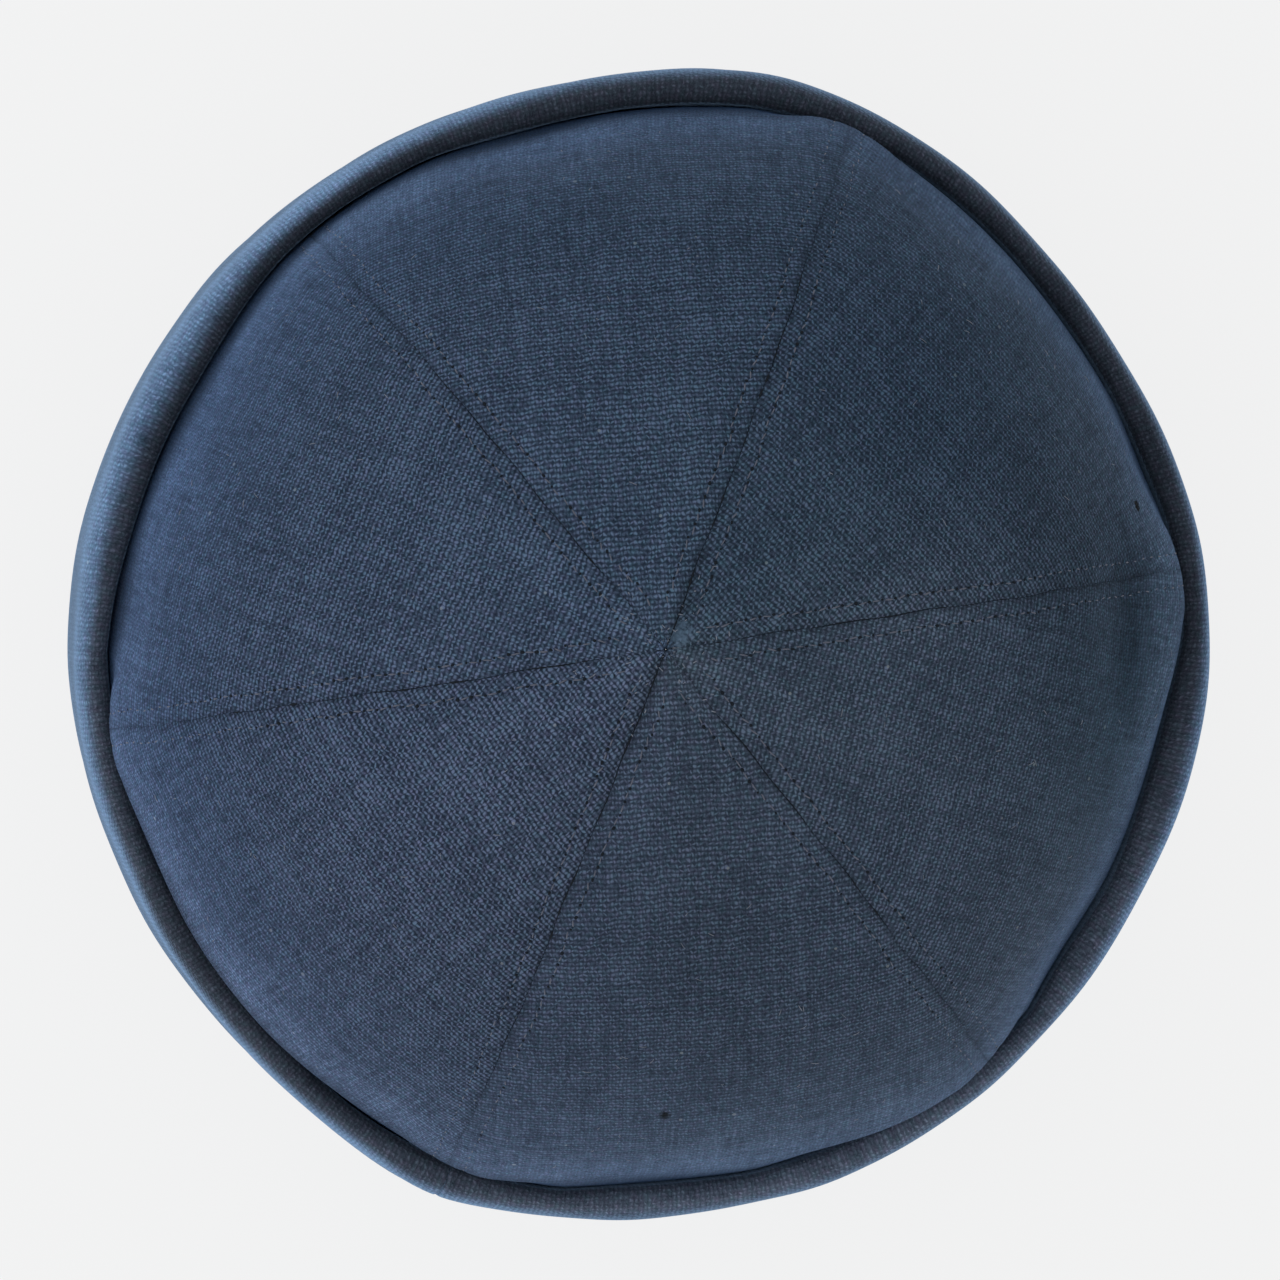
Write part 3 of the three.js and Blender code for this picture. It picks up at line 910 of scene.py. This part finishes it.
# The right side of the strip in section, from the hem inside the crown to the end of its inner layer. Each
# stretch has its own number of rows.
fold_inside = rim_radius - fold_width
crest = fold_inside + fold_inner_turn
shoulder_foot = cuff_height - fold_shoulder
turn_foot = cuff_height - fold_inner_turn
section = [
    (6, [[hem_inside, hem_inside], [hem_height, lower_corner]]),
    (5, arc(hem_inside + lower_corner, lower_corner, lower_corner, lower_corner, 180, 270)),
    (3, [[hem_inside + lower_corner, rim_radius - lower_corner], [0, 0]]),
    (5, arc(rim_radius - lower_corner, lower_corner, lower_corner, lower_corner, -90, 0)),
    (28, [[rim_radius, rim_radius], [lower_corner, shoulder_foot]]),
    (16, arc(crest, shoulder_foot, fold_width - fold_inner_turn, fold_shoulder, 0, 90)),
    (12, arc(crest, turn_foot, fold_inner_turn, fold_inner_turn, 90, 180)),
    (16, [[fold_inside, fold_inside], [turn_foot, inner_foot]]),
]
section_radius, section_height = [], []
for steps, (radii, heights) in section:
    share = np.linspace(0, 1, len(radii))
    stops = np.linspace(0, 1, steps, endpoint=False)
    section_radius.append(np.interp(stops, share, radii))
    section_height.append(np.interp(stops, share, heights))
section_radius = np.hstack(section_radius + [[fold_inside]])
section_height = np.hstack(section_height + [[inner_foot]])
section_run = np.hypot(np.diff(section_radius), np.diff(section_height))
section_run = np.hstack([[0], np.cumsum(section_run)])
section_out = np.gradient(section_height, section_run)
section_up = -np.gradient(section_radius, section_run)
cuff_rows = len(section_run) - 1


def cuff_face(angle, radius, height):
    outer = ease(radius, fold_inside + cuff_canvas, rim_radius - cuff_canvas)
    crown_edge, _ = crown_ring(angle, dome_length - 5 * mm)
    gap = np.maximum(fold_inside + waves(cuff_waves, angle) - crown_edge - 0.5 * mm, 0)
    raised = ease(height, hem_height + 6 * mm, cuff_height - 8 * mm)
    inner = (1 - ease(radius, fold_inside, rim_radius)) * raised
    belly = cuff_belly * np.sin(math.pi * np.clip(height / cuff_height, 0, 1))
    swell = sum(s["push"] * mm * share_across(s, angle) for s in cuff_swells)
    push = waves(cuff_waves, angle) + outer * (belly + swell) - inner * hug * gap
    return placed(angle, radius + push, height)


# The columns stand closer together at the join, where both ends are turned in
join_reach = 2.4 * mm / rim_radius
plain_columns = columns_round - 2 * join_steps
column_angles = join_facing + np.hstack([
    np.linspace(0, join_reach, join_steps, endpoint=False),
    np.linspace(join_reach, 2 * math.pi - join_reach, plain_columns, endpoint=False),
    np.linspace(2 * math.pi - join_reach, 2 * math.pi, join_steps + 1),
])
cuff, column, row = canvas_grid("turned_cuff", columns_round, cuff_rows)
angle = column_angles[column]
radius, height = section_radius[row], section_height[row]
from_join = rim_radius * np.minimum(angle - join_facing, join_facing + 2 * math.pi - angle)
above = ease(height, 3 * mm, 12 * mm)
lift = above * unevenness(cuff_face(angle, radius, height), 0.16 * mm)
lift = lift - above * join_depth * np.exp(-((from_join / (0.35 * mm)) ** 2))
points = cuff_face(angle, radius + section_out[row] * lift, height + section_up[row] * lift)
grain = np.stack([section_run[row], rim_radius * (join_facing - angle)], axis=-1) / mm
shoulder_row = sum(steps for steps, _ in section[:5])
turned_row = sum(steps for steps, _ in section[:7])
start = round_cap(cuff_painted_light, "start", angle)
edge = round_cap(cuff_painted_light, "edge", angle)[:, None] * np.array(edge_painted_light)
fold = round_cap(cuff_painted_light, "fold", angle)[:, None] * np.array(fold_light_and_shade)
inside = round_cap(cuff_painted_light, "inside", angle)[:, None] * np.array(groove_painted_light)
upper = ease(section_height, *edge_light_heights)[row][:, None]
turned = ease(row - shoulder_row, start + 4, start + 14)[:, None]
groove_lit = ease(row, turned_row - 5, turned_row + 3)[:, None]
wall = (1 - upper) * np.array(plain_wall) + upper * edge
dye_light_shade = (1 - groove_lit) * ((1 - turned) * wall + turned * fold) + groove_lit * inside
shape_canvas(cuff, points, grain, dye_light_shade, np.tile(plain_wall, (len(angle), 1)), cuff_canvas)

# The cuff's weave hardly stands out, and its wear starts past the end of the strip, so there is none
cuff_relief = 0.35
cuff_nap = {"weight": 0.8, "roughness": 0.3, "tint": (0.42, 0.66, 1, 1)}
cuff_worn = (900, 910)
cuff.data.materials.append(linen("cuff_linen", cuff_relief, cuff_nap, cuff_worn))
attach(cuff, "root")
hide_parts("cuff")

# The floor is a plain pale sheet, lit from within so that it stays even
bpy.ops.mesh.primitive_plane_add(size=12)
floor = bpy.context.object
floor.name = "floor"
pale_floor = bpy.data.materials.new("pale_floor")
pale_floor.use_nodes = True
sheet = pale_floor.node_tree.nodes["Principled BSDF"]
sheet.inputs["Base Color"].default_value = (0.12, 0.12, 0.12, 1)
sheet.inputs["Roughness"].default_value = 0.9
sheet.inputs["Specular IOR Level"].default_value = 0.1
sheet.inputs["Emission Color"].default_value = (1, 1, 1, 1)
sheet.inputs["Emission Strength"].default_value = 0.82
floor.data.materials.append(pale_floor)

# Soft studio light: a room that is brighter low down and on the left, and dim overhead
room = bpy.data.worlds.new("room")
bpy.context.scene.world = room
room.use_nodes = True
tree = room.node_tree
toward = tree.nodes.new("ShaderNodeTexCoord")
parts = tree.nodes.new("ShaderNodeSeparateXYZ")
put(tree, parts.inputs[0], toward.outputs["Generated"])
low = calc(tree, "SUBTRACT", 1.0, calc(tree, "MULTIPLY", parts.outputs[2], parts.outputs[2]))
across = calc(tree, "MULTIPLY_ADD", parts.outputs[1], -0.2, 0.6)
leftward = calc(tree, "MULTIPLY_ADD", parts.outputs[0], -0.56, across)
glow = calc(tree, "MULTIPLY_ADD", calc(tree, "MULTIPLY", low, leftward), 0.66, 0.42)
background = tree.nodes["Background"]
background.inputs["Color"].default_value = (0.93, 0.97, 1, 1)
put(tree, background.inputs["Strength"], glow)

# The camera stands almost straight above, a little to the left, with +Y up the picture
picture_width = 223.4 * mm
eye_height = 1600 * mm
eye_reach = 70 * mm
eye_facing = math.radians(172)
target = Vector((-0.03, 0.61, 48)) * mm
eye = Vector((eye_reach * math.cos(eye_facing), eye_reach * math.sin(eye_facing), eye_height))
back = (eye - target).normalized()
right = Vector((0, 1, 0)).cross(back).normalized()
bpy.ops.object.camera_add(location=eye)
camera = bpy.context.object
camera.rotation_euler = Matrix((right, back.cross(right), back)).transposed().to_euler()
camera.data.sensor_width = 36
camera.data.lens = camera.data.sensor_width * (eye - target).length / picture_width
camera.data.clip_end = 50
bpy.context.scene.camera = camera
bpy.context.scene.view_settings.view_transform = "Standard"
